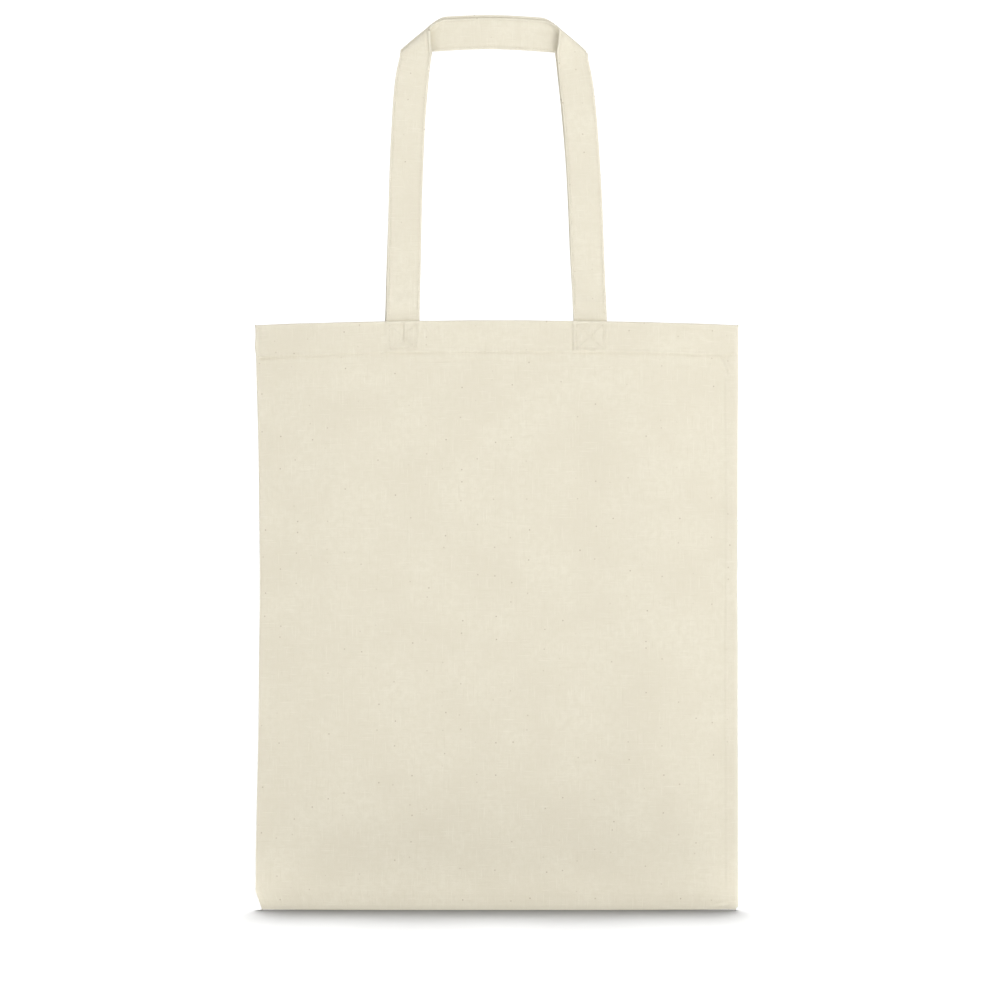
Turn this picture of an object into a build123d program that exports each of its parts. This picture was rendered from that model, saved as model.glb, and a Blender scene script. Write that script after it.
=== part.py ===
from build123d import *
import os
from math import atan2, cos, degrees, pi, sin

# A flat, unlined canvas tote bag with two long carrying handles, upright as it hangs.
# Lengths are in millimetres. X runs across the bag, Y from the front to the back, and Z up.
# The origin is the middle of the bottom edge. The front pieces lie at -Y, and each back piece
# is the mirror image of its front one. The cloth stands a little open, so the bag is hollow.

# The body
bag_width = 360.0          # across the side seams
rim_height = 440.0         # at the middle of the mouth, where the handles lift it
rim_droop = 4.0            # how much lower the rim hangs at the side seams
cloth = 0.5                # one layer of canvas
belly_depth = 9.0          # from the bag's middle plane to a panel's outer face
edge_depth = 2.4           # the same at the side seams
bottom_depth = 3.0         # and in the middle of the bottom seam
flat_half = 110.0          # half the width over which a panel is flat
belly_height = 100.0       # the panels reach their full depth at this height
corner_height = 14.0       # the bottom left corner isn't fully turned out: it is cut off this high
corner_width = 6.0         # and this wide
ply_gap = 0.02             # between two layers that lie on each other

# The hem and the seams
hem_depth = 25.0
hem_plies = 0.9            # thickness of the layers turned in
allowance_width = 9.0      # cloth turned inside at a seam
allowance_plies = 0.9
seam_end_gap = 1.0         # the side allowances end this far below the hem
overlock = 0.7             # width of the thread cast over the allowance's cut edges
thread = 0.4               # width of a row of stitches
thread_rise = 0.2          # how far a row of stitches stands off the cloth
hem_row = 24.0             # the hem's row of stitches, below the rim
seam_row = 1.4             # the side seam's row of stitches, in from the edge

# The handles
strap_width = 25.0
strap_plies = 1.2
strap_half_spacing = 69.7  # from the middle to the centre of a strap's end
sewn_length = 23.0         # how far a strap's end reaches down inside the hem
box_inset = 2.4            # the stitched box lies this far inside the strap's edges
leg_middle_height = 140.0  # heights above the rim of the points that shape a leg
left_leg_lean = 3.5        # how far a leg has come inwards at that height
right_leg_lean = 6.4
left_leg_slope = 0.01      # how much a leg leans inwards per millimetre where it leaves the rim
right_leg_slope = 0.045
shoulder_height = 200.0    # where the fold starts at the outer edge of a leg
crown_height = 224.2       # where it ends, at the top edge
crown_turn = 6.0           # how much more than its chord the leg's last stretch leans
crown_arch = 1.0           # the top edge is this much higher in the middle
left_shoulder = -71.9      # X of the fold's outer and inner ends
left_crown = -42.8
right_shoulder = 66.5
right_crown = 36.1
fold_gap = 0.2             # between the leg and the top stretch behind it
fold_width = 1.2           # width of the fold that joins them
strap_row = 1.8            # rows of stitches, in from the strap's edges
back_handle_shift = -1.2   # the back handle stands this far to one side of the front one
hinge_gap = 0.4            # a handle starts this far above its sewn ends
handles_apart = 0.5        # between the two handles at the top

half_width = bag_width / 2
rim_margin = 0.1           # the sewn ends reach this far short of the rim's middle height
sewn_top = rim_height - rim_margin
handle_base = sewn_top + hinge_gap
hem_outer = cloth + ply_gap
hem_inner = hem_outer + hem_plies
strap_outer_y = -belly_depth + hem_inner + ply_gap
strap_inner_y = strap_outer_y + strap_plies
handle_top_y = -handles_apart / 2 - fold_gap - strap_plies
handle_lean = atan2(handle_top_y - strap_inner_y, crown_height)
hem_start = rim_height - rim_droop - hem_depth
reach = 20.0               # how far a cutting outline runs past what it cuts
section_heights = (0, corner_height, 0.35 * belly_height, 0.65 * belly_height, belly_height, rim_height)

# A handle is drawn flat in this leaning plane: local X across the bag, local Y up the strap,
# and the normal pointing out of the bag's front. The plane holds the inner faces of the legs.
strap_plane = Plane(
    origin=(0, strap_inner_y, handle_base),
    x_dir=(1, 0, 0),
    z_dir=(0, -cos(handle_lean), sin(handle_lean)),
)

os.makedirs("parts", exist_ok=True)


def save(piece, node):
    """Labels a finished piece and writes it as the node of that name."""
    piece.part.label = node
    export_step(piece.part, f"parts/{node}.step")


def half_depth(height):
    """How far a panel's outer face stands from the middle plane, as the bag fills out upwards."""
    rise = min(height / belly_height, 1)
    return bottom_depth + (belly_depth - bottom_depth) * sin(rise * pi / 2)


def front_line(height, inset):
    """The front half of the bag's outline at a height, moved inwards by inset."""
    cut_off = corner_width * max(1 - height / corner_height, 0)
    left = -half_width + cut_off + inset
    right = half_width - inset
    face = -half_depth(height) + inset
    edge = -edge_depth + inset
    return [(left, 0), (left, edge), (-flat_half, face), (flat_half, face), (right, edge), (right, 0)]


def front_band(height, outer, inner):
    """The cross-section at a height, between two insets of the front outline."""
    with BuildSketch(Plane.XY.offset(height)) as band:
        with BuildLine():
            Polyline(*front_line(height, outer), *reversed(front_line(height, inner)), close=True)
        make_face()
    return band.sketch


def below_rim(top, bottom):
    """The outline between two distances below the rim, which arches up in the middle."""
    with BuildSketch(Plane.XZ) as outline:
        with BuildLine():
            upper = ThreePointArc(
                (-half_width, rim_height - rim_droop - top),
                (0, rim_height - top),
                (half_width, rim_height - rim_droop - top),
            )
            lower = ThreePointArc(
                (-half_width, rim_height - rim_droop - bottom),
                (0, rim_height - bottom),
                (half_width, rim_height - rim_droop - bottom),
            )
            Line(upper @ 0, lower @ 0)
            Line(upper @ 1, lower @ 1)
        make_face()
    return outline.sketch


def make_panel(side, behind):
    with BuildPart() as panel:
        loft([front_band(height, 0, cloth) for height in section_heights], ruled=True)
        with BuildSketch(Plane.XY):
            with BuildLine():
                Polyline(*front_line(0, 0), close=True)
            make_face()
        extrude(amount=cloth)
        extrude(below_rim(0, rim_height + reach), amount=reach, both=True, mode=Mode.INTERSECT)
        if behind:
            mirror(about=Plane.XZ, mode=Mode.REPLACE)
    save(panel, f"{side}_panel")


def make_hem(side, behind):
    with BuildPart() as hem:
        extrude(front_band(hem_start, hem_outer, hem_inner), amount=rim_height - hem_start)
        extrude(below_rim(0, hem_depth), amount=reach, both=True, mode=Mode.INTERSECT)
        if behind:
            mirror(about=Plane.XZ, mode=Mode.REPLACE)
    save(hem, f"{side}_hem")


def make_hem_thread(side, behind):
    """The hem's row of stitches: its needle thread outside and its bobbin thread inside."""
    with BuildPart() as row:
        for outer, inner in ((-thread_rise, 0), (hem_inner, hem_inner + thread_rise)):
            extrude(front_band(hem_start, outer, inner), amount=rim_height - hem_start)
        row_outline = below_rim(hem_row - thread / 2, hem_row + thread / 2)
        extrude(row_outline, amount=reach, both=True, mode=Mode.INTERSECT)
        with BuildSketch(Plane.XY.offset(hem_start)):
            Rectangle(bag_width - 2 * edge_depth, 2 * (belly_depth + reach))
        extrude(amount=hem_depth, mode=Mode.INTERSECT)
        if behind:
            mirror(about=Plane.XZ, mode=Mode.REPLACE)
    save(row, f"{side}_hem_thread")


def make_side_allowance(side, sign):
    top = rim_height - rim_droop - hem_depth - seam_end_gap
    start = corner_height
    middle = sign * (half_width - cloth - ply_gap - allowance_width / 2)
    with BuildPart() as allowance:
        with BuildSketch(Plane.XY.offset(start)):
            with Locations((middle, 0)):
                Rectangle(allowance_width, allowance_plies)
        extrude(amount=top - start)
    save(allowance, f"{side}_seam_allowance")
    with BuildPart() as cast_over:
        with BuildSketch(Plane.XY.offset(start)):
            with Locations((middle - sign * (allowance_width + overlock) / 2, 0)):
                Rectangle(overlock, allowance_plies + 2 * thread_rise)
        extrude(amount=top - start)
    save(cast_over, f"{side}_overlock_thread")
    with BuildPart() as row:
        with BuildSketch(Plane.XY.offset(start)):
            with Locations((sign * (half_width - seam_row), 0)):
                with GridLocations(0, allowance_plies + thread_rise, 1, 2):
                    Rectangle(thread, thread_rise)
        extrude(amount=top - start)
    save(row, f"{side}_seam_thread")


def make_bottom_allowance():
    length = bag_width - 4 * allowance_width
    base = cloth + ply_gap
    with BuildPart() as allowance:
        with BuildSketch(Plane.XY.offset(base)):
            Rectangle(length, allowance_plies)
        extrude(amount=allowance_width)
    save(allowance, "bottom_seam_allowance")
    with BuildPart() as cast_over:
        with BuildSketch(Plane.XY.offset(base + allowance_width)):
            Rectangle(length, allowance_plies + 2 * thread_rise)
        extrude(amount=overlock)
    save(cast_over, "bottom_overlock_thread")
    with BuildPart() as row:
        with BuildSketch(Plane.XY.offset(seam_row)):
            with GridLocations(0, allowance_plies + thread_rise, 1, 2):
                Rectangle(length, thread_rise)
        extrude(amount=thread)
    save(row, "bottom_seam_thread")


def make_strap_end(side, behind, end, middle):
    """The end of a handle, flat inside the hem, and the box and cross stitched through it."""
    shift = back_handle_shift if behind else 0
    with BuildPart() as sewn:
        with BuildSketch(Plane.XZ.offset(-strap_outer_y)):
            with Locations((middle + shift, sewn_top - sewn_length / 2)):
                Rectangle(strap_width, sewn_length)
        extrude(amount=-strap_plies)
        if behind:
            mirror(about=Plane.XZ, mode=Mode.REPLACE)
    save(sewn, f"{side}_{end}_strap_end")
    box_width = strap_width - 2 * box_inset
    box_height = sewn_length - 2 * box_inset
    diagonal = (box_width**2 + box_height**2) ** 0.5
    slope = degrees(atan2(box_height, box_width))
    with BuildPart() as stitches:
        for face in (belly_depth, -strap_inner_y - thread_rise):
            with BuildSketch(Plane.XZ.offset(face)):
                with Locations((middle + shift, sewn_top - sewn_length / 2)):
                    Rectangle(box_width, box_height)
                    Rectangle(box_width - 2 * thread, box_height - 2 * thread, mode=Mode.SUBTRACT)
                    Rectangle(diagonal - 2 * thread, thread, rotation=slope)
                    Rectangle(diagonal - 2 * thread, thread, rotation=-slope)
        extrude(amount=thread_rise)
        if behind:
            mirror(about=Plane.XZ, mode=Mode.REPLACE)
    save(stitches, f"{side}_{end}_box_thread")


def leg_edge(side, inset):
    """The points along a leg at a distance in from its outer edge, and its directions at both ends."""
    sign = -1 if side == "left" else 1
    slope = left_leg_slope if side == "left" else right_leg_slope
    lean = left_leg_lean if side == "left" else right_leg_lean
    shoulder = left_shoulder if side == "left" else right_shoulder
    crown = left_crown if side == "left" else right_crown
    share = inset / strap_width
    outer = strap_half_spacing + strap_width / 2 - inset
    fold = (shoulder + (crown - shoulder) * share, shoulder_height + (crown_height - shoulder_height) * share)
    middle = (sign * (outer - lean), leg_middle_height)
    leaving = (-sign * slope, 1)
    arriving = (fold[0] - middle[0] - sign * crown_turn, fold[1] - middle[1])
    return [(sign * outer, 0), middle, fold], [leaving, arriving]


def leg_outline(side, from_inset, to_inset):
    """A leg between two insets from its outer edge, cut off along its fold at the top."""
    outer_points, outer_ends = leg_edge(side, from_inset)
    inner_points, inner_ends = leg_edge(side, to_inset)
    with BuildSketch() as leg:
        with BuildLine():
            outer = Spline(*outer_points, tangents=outer_ends)
            inner = Spline(*inner_points, tangents=inner_ends)
            Line(outer @ 0, inner @ 0)
            Line(outer @ 1, inner @ 1)
        make_face()
    return leg.sketch


def top_outline():
    """The top stretch, with both ends cut off along the folds."""
    middle = (left_crown + right_crown) / 2
    with BuildSketch() as top:
        with BuildLine():
            edge = ThreePointArc(
                (left_crown, crown_height),
                (middle, crown_height + crown_arch),
                (right_crown, crown_height),
            )
            Polyline(edge @ 1, (right_shoulder, shoulder_height), (left_shoulder, shoulder_height), edge @ 0)
        make_face()
    return top.sketch


def fold_outline(shoulder, crown):
    """The narrow fold along which a leg turns into the top stretch."""
    inward = fold_width if shoulder < 0 else -fold_width
    with BuildSketch() as fold:
        with BuildLine():
            Polyline(
                (shoulder, shoulder_height),
                (crown, crown_height),
                (crown + inward, crown_height),
                (shoulder + inward, shoulder_height),
                close=True,
            )
        make_face()
    return fold.sketch


def make_handle(side, behind):
    shift = back_handle_shift if behind else 0
    plane = Plane(
        origin=strap_plane.origin + Vector(shift, 0, 0),
        x_dir=strap_plane.x_dir,
        z_dir=strap_plane.z_dir,
    )
    top_plane = plane.offset(-fold_gap - strap_plies)
    with BuildPart() as strap:
        with BuildSketch(plane):
            add(leg_outline("left", 0, strap_width))
            add(leg_outline("right", 0, strap_width))
        extrude(amount=strap_plies)
        with BuildSketch(top_plane):
            add(top_outline())
        extrude(amount=strap_plies)
        with BuildSketch(top_plane):
            add(fold_outline(left_shoulder, left_crown))
            add(fold_outline(right_shoulder, right_crown))
        extrude(amount=2 * strap_plies + fold_gap)
        if behind:
            mirror(about=Plane.XZ, mode=Mode.REPLACE)
    save(strap, f"{side}_strap")
    with BuildPart() as rows:
        with BuildSketch(plane.offset(strap_plies)):
            for inset in (strap_row, strap_width - strap_row - thread):
                add(leg_outline("left", inset, inset + thread))
                add(leg_outline("right", inset, inset + thread))
        extrude(amount=thread_rise)
        if behind:
            mirror(about=Plane.XZ, mode=Mode.REPLACE)
    save(rows, f"{side}_strap_thread")


for side, behind in (("front", False), ("back", True)):
    make_panel(side, behind)
    make_hem(side, behind)
    make_hem_thread(side, behind)
    make_strap_end(side, behind, "left", -strap_half_spacing)
    make_strap_end(side, behind, "right", strap_half_spacing)
    make_handle(side, behind)

make_side_allowance("left", -1)
make_side_allowance("right", 1)
make_bottom_allowance()
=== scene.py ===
import math

import bpy
import numpy as np
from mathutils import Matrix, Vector, noise


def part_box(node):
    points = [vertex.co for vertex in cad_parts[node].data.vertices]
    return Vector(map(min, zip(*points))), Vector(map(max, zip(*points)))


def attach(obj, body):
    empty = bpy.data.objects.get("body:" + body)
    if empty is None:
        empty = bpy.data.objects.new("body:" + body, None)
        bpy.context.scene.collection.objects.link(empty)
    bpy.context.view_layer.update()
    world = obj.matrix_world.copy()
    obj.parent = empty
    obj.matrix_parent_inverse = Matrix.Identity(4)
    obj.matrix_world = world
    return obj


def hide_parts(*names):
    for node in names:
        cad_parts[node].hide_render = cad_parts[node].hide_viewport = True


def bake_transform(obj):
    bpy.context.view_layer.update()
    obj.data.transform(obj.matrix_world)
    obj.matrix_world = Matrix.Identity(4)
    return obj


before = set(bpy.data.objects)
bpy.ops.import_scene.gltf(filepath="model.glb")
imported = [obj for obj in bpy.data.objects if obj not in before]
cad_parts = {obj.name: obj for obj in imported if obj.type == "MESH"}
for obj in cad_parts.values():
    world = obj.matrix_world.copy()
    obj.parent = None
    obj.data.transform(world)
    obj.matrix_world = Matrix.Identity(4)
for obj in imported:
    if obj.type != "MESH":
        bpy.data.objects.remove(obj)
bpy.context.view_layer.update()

# A flat cotton canvas tote bag. Each panel is one sheet of cloth that rolls into its seams and over
# the rim, each handle is one folded strap with its sewn ends, and every stitch is its own small loop.
# X runs across the bag, Y from the front to the back, and Z up. Lengths are in millimetres here, and
# in metres for Blender: in the materials, the camera, the lights and the finished meshes.
MM = 0.001


def box(node):
    """The low and high corners of a CAD node, in millimetres."""
    low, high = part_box(node)
    return low / MM, high / MM


# Sizes that come from the CAD frame
panel_low, panel_high = box("front_panel")
end_low, end_high = box("front_left_strap_end")
strap_low, strap_high = box("front_strap")
side_low, side_high = box("right_seam_allowance")
bottom_low, bottom_high = box("bottom_seam_allowance")
HALF_WIDTH = panel_high.x
RIM = panel_high.z
BELLY = -panel_low.y
SEWN_TOP = end_high.z
SEWN_LENGTH = end_high.z - end_low.z
STRAP_WIDTH = end_high.x - end_low.x
STRAP_SPACING = -(end_low.x + end_high.x) / 2
STRAP_BASE_Y = (end_low.y + end_high.y) / 2
STRAP_TOP = strap_high.z
ALLOWANCE = side_high.x - side_low.x

# The cloth, and how it turns at the panels' edges
CLOTH = 0.45
LAYER_GAP = 0.05
SEAM_ROLL = 0.95  # radius of the cloth where it turns into a side seam
FOOT_ROLL = 0.45  # and into the bottom seam
RIM_ROLL = 0.65  # and where it turns over the rim
RIM_TOP = RIM - 0.3  # the rim's middle
RIM_DROOP = 3.3  # how much lower its ends are
FULL_DEPTH = BELLY + 0.3
SIDE_RAMP = 78  # how far in from a side seam a panel reaches its full depth
BOTTOM_RAMP = 150  # and how far up from the bottom seam
CORNER_HEIGHT = 14  # the bottom left corner, which isn't fully turned out
CORNER_WIDTH = 5.0
HALF_CLOTH = HALF_WIDTH - SEAM_ROLL + math.pi * SEAM_ROLL  # along the cloth, middle to side seam
RIM_CLOTH = RIM_TOP - FOOT_ROLL + math.pi * FOOT_ROLL  # along the cloth, bottom seam to rim
TURN_START = RIM_CLOTH - RIM_ROLL  # where it starts to turn over the rim

# The hem
HEM_ROW = 24
HEM_DEPTH = 25
HEM_THICKNESS = 0.9
HEM_DENT = 0.14  # how far its stitches draw each face in

# The straps
STRAP_THICKNESS = 1.25
STRAP_ROW = 1.8
TOP_Y = -0.85  # middle of the front handle's top stretch
LEG_TOP_Y = -2.3  # where a leg's plane would pass at the top
FOLD_START = 17  # how far a leg runs straight past the middle of its fold
FOLD_SHOULDER_ROLL = 1.3
FOLD_CROWN_ROLL = 4.6
LEFT_SHOULDER = (-71.2, 639.8)
LEFT_CROWN = (-42.0, 663.7)
RIGHT_SHOULDER = (68.6, 637.9)
RIGHT_CROWN = (37.6, 663.9)
LEFT_BULGE = 0.3  # how far a fold swells out past the straight line between its ends
RIGHT_BULGE = 0.5
TOP_ARCH = 2.6  # how far the top stretch rises in its middle
CROWN_DROOP = 3.0  # how far the top edge sinks as it comes to a fold
LEFT_CURL = 0.8  # how far the leg's inner edge turns forward by each fold
RIGHT_CURL = 0.3
TOP_NARROWING = 0.06  # the top stretch rolls a little, so it shows less than its full width
LEFT_END = -STRAP_SPACING + STRAP_WIDTH / 2  # the sewn ends' inner edges
RIGHT_END = STRAP_SPACING - STRAP_WIDTH / 2

# The stitches
STITCH = 2.1
STITCH_PITCH = 2.6
THREAD = 0.2  # radius
SEAM_END = 5  # how far the hem's row stays from the side seams
BOX_HALF = STRAP_WIDTH / 2 - 2.4
BOX_TOP = 2.6  # below the rim
BOX_FOOT = SEWN_LENGTH - 2.2

# Folds pressed into a panel: a point, the fold's start and end from there, its width and its height
CREASES = [
    (LEFT_END, RIM, (2, -2), (9, -13), 1.0, 0.45),  # down and in from the left handle
    (LEFT_END, RIM, (15, -2), (14, -24), 1.5, 0.16),  # a faint one further in
    (LEFT_END, RIM, (-12.5, -1), (-12, -16), 0.7, -0.7),  # deep, in the left patch's middle
    (RIGHT_END, RIM, (-1.2, -3), (-1, -23), 0.9, -0.55),  # down the right patch's inner edge
    (RIGHT_END, RIM, (0, -24), (11, -24), 0.9, -0.45),  # along the right patch's foot
    (HALF_WIDTH, RIM, (-13, -27.5), (-7.6, -40.5), 0.9, -0.55),  # the tuck below the hem's right end
    (HALF_WIDTH, 0, (-3, 8), (-19, 3.5), 1.1, -0.45),  # across the bottom right corner
]

# Each side of the bag, the way it faces, and where its noise starts
SIDES = (("front", 1, 3.1), ("back", -1, 17.4))


def smooth(value, low, high):
    """0 below low, 1 above high, and an even S between them."""
    share = np.clip((value - low) / (high - low), 0, 1)
    return share * share * (3 - 2 * share)


def swelling(distance, ramp):
    """A rise from 0 to 1 over a ramp, steep at first."""
    return np.sin(np.clip(distance / ramp, 0, 1) * np.pi / 2)


def hill(value, centre, width):
    """A rounded ridge of height 1."""
    return np.exp(-(((value - centre) / width) ** 2))


def spot(x, z, centre, radius):
    """A round hill of height 1."""
    return hill(np.hypot(x - centre[0], z - centre[1]), 0, radius)


def lesser(one, other, blend):
    """The smaller of two depths, with a rounded change from one to the other."""
    near = np.maximum(blend - np.abs(one - other), 0) / blend
    return np.minimum(one, other) - near * near * blend / 4


def rough(x, z, size, seed):
    """Smooth noise from about -1 to 1, with features of a given size."""
    flat_x = np.ravel(x) / size
    flat_z = np.ravel(z) / size
    values = [noise.noise(Vector((p, q, seed))) for p, q in zip(flat_x, flat_z)]
    return np.array(values).reshape(np.shape(x)) * 1.6


def rough_along(x, size, seed):
    """The same, changing in one direction only."""
    return rough(x, np.zeros_like(x), size, seed)


def spaced(first, last, step=STITCH_PITCH):
    """Evenly spaced places, with one at the end too if it comes within a hair of it."""
    return np.arange(first, last + 0.01, step)


def unit(vectors):
    return vectors / np.linalg.norm(vectors, axis=-1, keepdims=True)


def graded(stops):
    """Positions from the first stop to the last, with the step that each stop asks for."""
    ends = [stop[0] for stop in stops]
    steps = [stop[1] for stop in stops]
    places = [ends[0]]
    while places[-1] < ends[-1]:
        places.append(places[-1] + np.interp(places[-1], ends, steps))
    places[-1] = ends[-1]
    return np.array(places)


def grid_faces(rows, columns, wrap=False, flip=False):
    """The faces of a grid of points, joined all the way round if wrap is true."""
    index = np.arange(rows * columns).reshape(rows, columns)
    if wrap:
        index = np.hstack([index, index[:, :1]])
    corners = [index[:-1, :-1], index[:-1, 1:], index[1:, 1:], index[1:, :-1]]
    if flip:
        corners.reverse()
    return np.stack(corners, axis=-1).reshape(-1, 4).tolist()


def end_faces(rows, count):
    """The faces that close both ends of a tube made of rows of count points."""
    last = rows * count - 1
    return [list(range(count)), list(range(last, last - count, -1))]


def make_piece(name, points, faces, cloth, wear_and_highlight, material):
    """A mesh object with its cloth coordinates in metres, and at each point how much lighter its colour
    is: wear, and a painted highlight along its edges.
    """
    mesh = bpy.data.meshes.new(name)
    mesh.from_pydata((np.reshape(points, (-1, 3)) * MM).tolist(), [], faces)
    flat = np.zeros((len(mesh.vertices), 3), np.float32)
    flat[:, :2] = np.reshape(cloth, (-1, 2))
    mesh.attributes.new("cloth", "FLOAT_VECTOR", "POINT").data.foreach_set("vector", flat.ravel())
    wear_and_highlight_values = np.zeros(len(mesh.vertices), np.float32) + np.ravel(wear_and_highlight)
    mesh.attributes.new("wear_and_highlight", "FLOAT", "POINT").data.foreach_set("value", wear_and_highlight_values.astype(np.float32))
    mesh.materials.append(material)
    for polygon in mesh.polygons:
        polygon.use_smooth = True
    piece = bpy.data.objects.new(name, mesh)
    bpy.context.scene.collection.objects.link(piece)
    return piece


def sew_to_bag(piece, node):
    """The piece stays with the bag's body and stands for a node of it."""
    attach(piece, "bag")
    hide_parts(node)


# ---------------------------------------------------------------- materials


def add_node(tree, kind, inputs=None, **settings):
    node = tree.nodes.new(kind)
    for name, value in settings.items():
        setattr(node, name, value)
    for name, value in (inputs or {}).items():
        if isinstance(value, bpy.types.NodeSocket):
            tree.links.new(value, node.inputs[name])
        else:
            node.inputs[name].default_value = value
    return node


def maths(operation, one, other=0.0):
    return add_node(one.id_data, "ShaderNodeMath", {0: one, 1: other}, operation=operation).outputs[0]


def vector_maths(operation, one, other):
    node = add_node(one.id_data, "ShaderNodeVectorMath", {0: one, 1: other}, operation=operation)
    return node.outputs[0]


def remap(value, low, high, to_low=0.0, to_high=1.0):
    """A value's share of the way from low to high, eased, as a number from to_low to to_high."""
    inputs = {"Value": value, "From Min": low, "From Max": high, "To Min": to_low, "To Max": to_high}
    node = add_node(value.id_data, "ShaderNodeMapRange", inputs, interpolation_type="SMOOTHSTEP")
    return node.outputs["Result"]


def noise_node(vector, scale, detail=2.0, roughness=0.5):
    inputs = {"Vector": vector, "Scale": scale, "Detail": detail, "Roughness": roughness}
    return add_node(vector.id_data, "ShaderNodeTexNoise", inputs).outputs["Fac"]


def mix_colour(share, one, other):
    """One colour where share is 0, and the other where it is 1."""
    tree = share.id_data
    node = add_node(tree, "ShaderNodeMix", data_type="RGBA", blend_type="MIX")
    for index, value in ((0, share), (6, one), (7, other)):
        if isinstance(value, bpy.types.NodeSocket):
            tree.links.new(value, node.inputs[index])
        else:
            node.inputs[index].default_value = value
    return node.outputs[2]


def shade(colour, factor):
    return (colour[0] * factor[0], colour[1] * factor[1], colour[2] * factor[2], 1.0)


def tinted(tone, colour, layers):
    """Lays tints of a colour over a tone, each by its own share."""
    for share, factor in layers:
        tone = mix_colour(share, tone, shade(colour, factor))
    return tone


def new_material(name):
    material = bpy.data.materials.new(name)
    material.use_nodes = True
    tree = material.node_tree
    return material, tree, tree.nodes["Principled BSDF"]


def surface(tree, shader, tone, height, strength, distance, roughness):
    """Gives the shader its colour, its relief and its roughness."""
    inputs = {"Height": height, "Strength": strength, "Distance": distance}
    relief = add_node(tree, "ShaderNodeBump", inputs)
    tree.links.new(tone, shader.inputs["Base Color"])
    tree.links.new(relief.outputs["Normal"], shader.inputs["Normal"])
    tree.links.new(roughness, shader.inputs["Roughness"])


def weave_height(tree, place, pitch):
    """Over and under: the higher of the warp and the weft, on threads that wander a little."""
    wander = add_node(tree, "ShaderNodeTexNoise", {"Vector": place, "Scale": 140.0, "Detail": 2.0})
    drift = vector_maths("SUBTRACT", wander.outputs["Color"], (0.5, 0.5, 0.5))
    drift = vector_maths("MULTIPLY", drift, (0.9 * MM, 0.9 * MM, 0.9 * MM))
    parts = add_node(tree, "ShaderNodeSeparateXYZ", {0: vector_maths("ADD", place, drift)})
    warp = maths("SINE", maths("MULTIPLY", parts.outputs[0], math.pi / pitch))
    weft = maths("SINE", maths("MULTIPLY", parts.outputs[1], math.pi / (pitch * 1.08)))
    crossing = maths("MULTIPLY", maths("MULTIPLY", warp, weft), 0.4)
    warp_body = maths("MULTIPLY", maths("ABSOLUTE", warp), 0.6)
    weft_body = maths("MULTIPLY", maths("ABSOLUTE", weft), 0.6)
    warp_height = maths("ADD", warp_body, crossing)
    weft_height = maths("SUBTRACT", weft_body, crossing)
    return maths("MAXIMUM", warp_height, weft_height)


def husk_specks(tree, place):
    """Small dark specks in a share of the cells, each as strong as its cell's random number."""
    inputs = {"Vector": place, "Scale": 80.0}
    cells = add_node(tree, "ShaderNodeTexVoronoi", inputs, voronoi_dimensions="2D")
    chosen = add_node(tree, "ShaderNodeSeparateColor", {0: cells.outputs["Color"]}).outputs[0]
    picked = remap(chosen, 0.6, 1.05)
    return maths("MULTIPLY", remap(cells.outputs["Distance"], 0.06, 0.02), picked)


def woven_cloth(name, colour, pitch=0.5 * MM, seed=0.0):
    """Plain-woven unbleached cotton: irregular threads, slubs, cloudy colour and specks of seed husk."""
    material, tree, shader = new_material(name)
    cloth = add_node(tree, "ShaderNodeAttribute", attribute_name="cloth").outputs["Vector"]
    wear_and_highlight = add_node(tree, "ShaderNodeAttribute", attribute_name="wear_and_highlight").outputs["Fac"]
    place = vector_maths("ADD", cloth, (seed, seed * 0.7, 0))
    weave = weave_height(tree, place, pitch)

    # Single threads that are thicker or thinner for a length, up and across
    upright = vector_maths("MULTIPLY", place, (1 / (1.1 * MM), 1 / (17 * MM), 1.0))
    level = vector_maths("MULTIPLY", place, (1 / (15 * MM), 1 / (1.1 * MM), 1.0))
    up = noise_node(upright, 1.0, 1.0)
    over = noise_node(level, 1.0, 1.0)
    slub = maths("MAXIMUM", remap(up, 0.6, 0.78), remap(over, 0.6, 0.78))
    thin = maths("MAXIMUM", remap(up, 0.38, 0.24), remap(over, 0.38, 0.24))

    # Clouds of tone, and the finer mottling that uneven yarn gives
    cloud = noise_node(place, 22.0, 3.0)
    mottle = noise_node(place, 210.0, 4.0, 0.65)
    fibre = noise_node(place, 1900.0, 2.0, 0.6)

    dull = shade(colour, (0.965, 0.955, 0.945))
    bright = shade(colour, (1.02, 1.02, 1.02))
    tone = mix_colour(remap(cloud, 0.3, 0.7), dull, bright)
    tone = tinted(tone, colour, [
        (remap(mottle, 0.3, 0.7, 0.75, 0.0), (0.95, 0.94, 0.915)),
        # Painted shade: darker where the weave is low, in the gaps between the threads
        (remap(weave, 0.42, 0.12, 0.0, 0.4), (0.72, 0.68, 0.6)),
        (maths("MULTIPLY", slub, 0.4), (1.08, 1.085, 1.11)),
        (maths("MULTIPLY", thin, 0.5), (0.91, 0.895, 0.86)),
        # Lighter where the mask is high: wear along the edges, and a painted highlight
        (maths("MULTIPLY", wear_and_highlight, 0.5), (1.06, 1.065, 1.08)),
        (maths("MULTIPLY", husk_specks(tree, place), 0.6), (0.42, 0.33, 0.22)),
    ])
    height = maths("ADD", weave, maths("MULTIPLY", slub, 0.7))
    height = maths("ADD", height, maths("MULTIPLY", fibre, 0.35))
    height = maths("ADD", height, maths("MULTIPLY", mottle, 0.6))
    surface(tree, shader, tone, height, 0.7, 0.09 * MM, remap(weave, 0.1, 0.9, 0.96, 0.84))
    shader.inputs["Sheen Weight"].default_value = 0.12
    shader.inputs["Sheen Roughness"].default_value = 0.6
    shader.inputs["Sheen Tint"].default_value = (1.0, 0.97, 0.9, 1.0)
    shader.inputs["Specular IOR Level"].default_value = 0.18
    return material


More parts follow.
